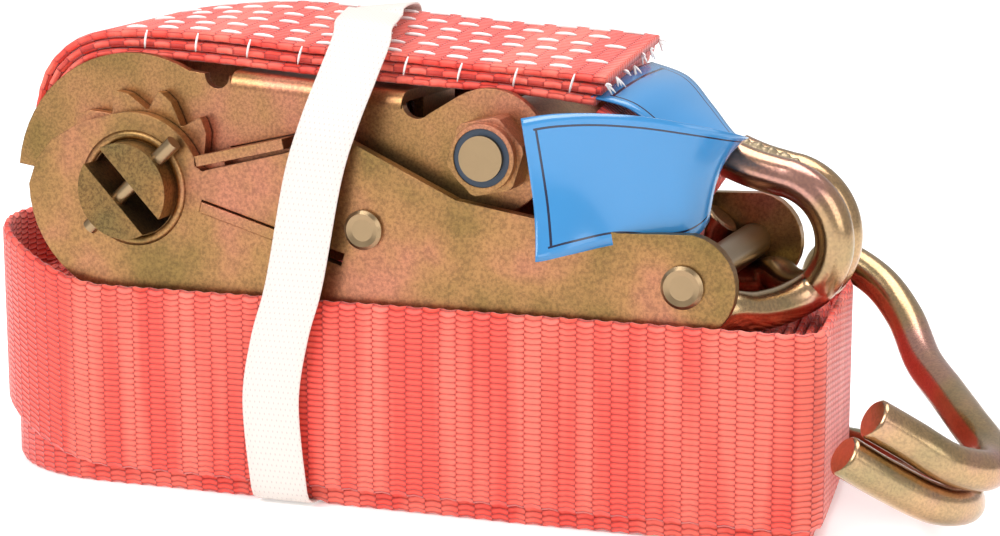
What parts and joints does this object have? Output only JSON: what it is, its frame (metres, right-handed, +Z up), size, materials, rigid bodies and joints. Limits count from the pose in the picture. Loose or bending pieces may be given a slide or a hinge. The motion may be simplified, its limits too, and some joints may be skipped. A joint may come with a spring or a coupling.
{
  "type": "ratchet tie down",
  "caption": "Ratchet tie down packed for storage: yellow zinc ratchet with a claw hook, standing on its coiled red webbing with a second claw hook, label and packing band.",
  "frame": {"origin": "centre of the overall box's footprint, on the floor the coil stands on", "axes": "+X from the mandrel towards the end bolt, +Y towards the back of the coil, +Z up"},
  "size_m": [0.2022, 0.0914, 0.0886],
  "materials": {
    "zinc_sheet": "yellow zinc plate, satin, faintly iridescent",
    "zinc_wire": "yellow zinc plate on drawn wire, glossy, iridescent",
    "zinc_bar": "yellow zinc plate on machined bar, dull",
    "fastener_steel": "pale zinc plate",
    "spring_steel": "oiled spring wire",
    "weld": "weld bead under zinc plate",
    "nylon": "dark nylon",
    "webbing": "woven polyester webbing",
    "label": "glossy film label",
    "band": "fine dotted packing film"
  },
  "bodies": {
    "frame": {"frame_plate_near": "zinc_sheet", "frame_plate_far": "zinc_sheet", "cross_rivet": "fastener_steel", "spacer_tube": "zinc_sheet", "end_bolt": "fastener_steel", "lock_pawl_spring": "spring_steel", "strap_coil": "webbing", "sewn_flap": "webbing", "strap_lead": "webbing", "hook_strap": "webbing", "identity_label": "label", "packing_band": "band"},
    "handle": {"handle_shell": "zinc_sheet", "grip_bolt": "fastener_steel", "grip_nut": "zinc_sheet", "nut_insert": "nylon", "grip_sleeve": "zinc_sheet", "drive_pawl_spring": "spring_steel"},
    "mandrel": {"mandrel_half_upper": "zinc_bar", "mandrel_half_lower": "zinc_bar", "split_pins": "fastener_steel", "ratchet_wheel_near": "zinc_sheet", "ratchet_wheel_far": "zinc_sheet"},
    "drive_pawl": {"drive_pawl": "zinc_sheet"},
    "lock_pawl": {"lock_pawl": "zinc_sheet"},
    "ratchet_hook": {"ratchet_hook_wire_near": "zinc_wire", "ratchet_hook_wire_far": "zinc_wire", "ratchet_hook_weld": "weld"},
    "strap_hook": {"strap_hook_wire": "zinc_wire", "strap_hook_weld": "weld"}
  },
  "joints": [
    {"name": "handle_hinge", "type": "hinge", "parent": "frame", "child": "handle", "pos_m": [-0.06127, 0.00363, 0.0567], "axis": [0, -1, 0], "range_deg": [0, 55], "deforming": ["sewn_flap", "identity_label", "packing_band"]},
    {"name": "mandrel_spin", "type": "hinge", "parent": "frame", "child": "mandrel", "pos_m": [-0.06127, 0.00363, 0.0567], "axis": [0, -1, 0], "continuous": true},
    {"name": "drive_pawl_slide", "type": "slide", "parent": "handle", "child": "drive_pawl", "axis": [0.9744, 0, 0.225], "range_m": [0, 0.005], "stiffness_N_per_m": 400, "springref_m": -0.004, "deforming": ["drive_pawl_spring"]},
    {"name": "lock_pawl_slide", "type": "slide", "parent": "frame", "child": "lock_pawl", "axis": [0.9593, 0, -0.2823], "range_m": [0, 0.005], "stiffness_N_per_m": 400, "springref_m": -0.004, "deforming": ["lock_pawl_spring"]},
    {"name": "ratchet_hook_hinge", "type": "hinge", "parent": "frame", "child": "ratchet_hook", "pos_m": [0.04423, 0.00363, 0.045], "axis": [0, -1, 0], "range_deg": [0, 10]},
    {"name": "strap_hook_hinge", "type": "hinge", "parent": "frame", "child": "strap_hook", "pos_m": [0.05423, 0.04013, 0.0207], "axis": [0, 0, 1], "range_deg": [0, 60]}
  ]
}
